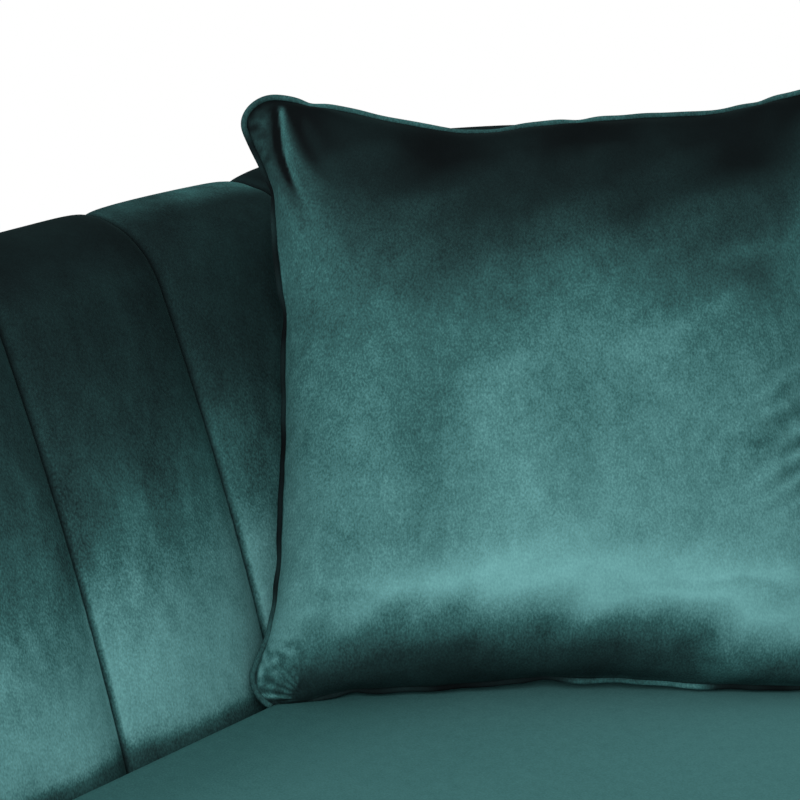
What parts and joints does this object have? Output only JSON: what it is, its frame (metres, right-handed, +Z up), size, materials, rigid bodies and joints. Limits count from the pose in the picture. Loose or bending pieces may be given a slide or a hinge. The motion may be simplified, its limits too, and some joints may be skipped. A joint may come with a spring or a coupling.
{
  "type": "channel tufted sofa",
  "caption": "Velvet sofa whose flared arms and back are one wall of vertical padded channels rolled over the crest, with a bench seat cushion and piped corner pillows on tapered legs.",
  "frame": {"origin": "on the floor, under the middle of the overall box", "axes": "+X to the right along the seat, +Y towards the back, +Z up"},
  "size_m": [2.1414, 0.858, 0.874],
  "materials": {
    "velvet": "short velvet pile",
    "foam": "open cell foam",
    "fibre_fill": "fibre filled ticking",
    "hardwood": "planed",
    "plywood": "sanded",
    "webbing": "woven elastic",
    "lining": "non-woven cloth",
    "leg_metal": "brushed",
    "steel": "zinc plated",
    "glide": "moulded"
  },
  "bodies": {
    "frame": {"back_channel_1": "velvet", "back_channel_2": "velvet", "back_channel_3": "velvet", "back_channel_4": "velvet", "back_channel_5": "velvet", "back_channel_6": "velvet", "back_channel_7": "velvet", "back_channel_8": "velvet", "back_channel_9": "velvet", "back_cover": "velvet", "back_legs": "leg_metal", "back_panel": "plywood", "back_rail": "hardwood", "back_top_rail": "plywood", "dust_cover": "lining", "front_apron": "velvet", "front_legs": "leg_metal", "front_rail": "hardwood", "left_arm_channel_1": "velvet", "left_arm_channel_2": "velvet", "left_arm_channel_3": "velvet", "left_arm_front": "velvet", "left_corner_channel_1": "velvet", "left_corner_channel_2": "velvet", "left_corner_channel_3": "velvet", "left_cover": "velvet", "left_panel": "plywood", "left_rail": "hardwood", "left_top_rail": "plywood", "leg_blocks": "hardwood", "leg_glides": "glide", "leg_plates": "steel", "leg_studs": "steel", "right_arm_channel_1": "velvet", "right_arm_channel_2": "velvet", "right_arm_channel_3": "velvet", "right_arm_front": "velvet", "right_corner_channel_1": "velvet", "right_corner_channel_2": "velvet", "right_corner_channel_3": "velvet", "right_cover": "velvet", "right_panel": "plywood", "right_rail": "hardwood", "right_top_rail": "plywood", "seat_deck": "lining", "seat_stretchers": "hardwood", "seat_webbing": "webbing", "upright_ribs": "plywood"},
    "seat_cushion": {"seat_bottom_panel": "velvet", "seat_border": "velvet", "seat_top_panel": "velvet", "seat_core": "foam"},
    "left_pillow": {"left_pillow_back": "velvet", "left_pillow_front": "velvet", "left_pillow_insert": "fibre_fill", "left_pillow_piping": "velvet"},
    "right_pillow": {"right_pillow_back": "velvet", "right_pillow_front": "velvet", "right_pillow_insert": "fibre_fill", "right_pillow_piping": "velvet"}
  },
  "joints": [
    {"name": "seat_cushion_lift", "type": "slide", "parent": "frame", "child": "seat_cushion", "axis": [0, 0, 1], "range_m": [0, 0.53]},
    {"name": "left_pillow_lift", "type": "slide", "parent": "seat_cushion", "child": "left_pillow", "axis": [0, 0, 1], "range_m": [0, 0.4]},
    {"name": "right_pillow_lift", "type": "slide", "parent": "seat_cushion", "child": "right_pillow", "axis": [0, 0, 1], "range_m": [0, 0.4]}
  ]
}
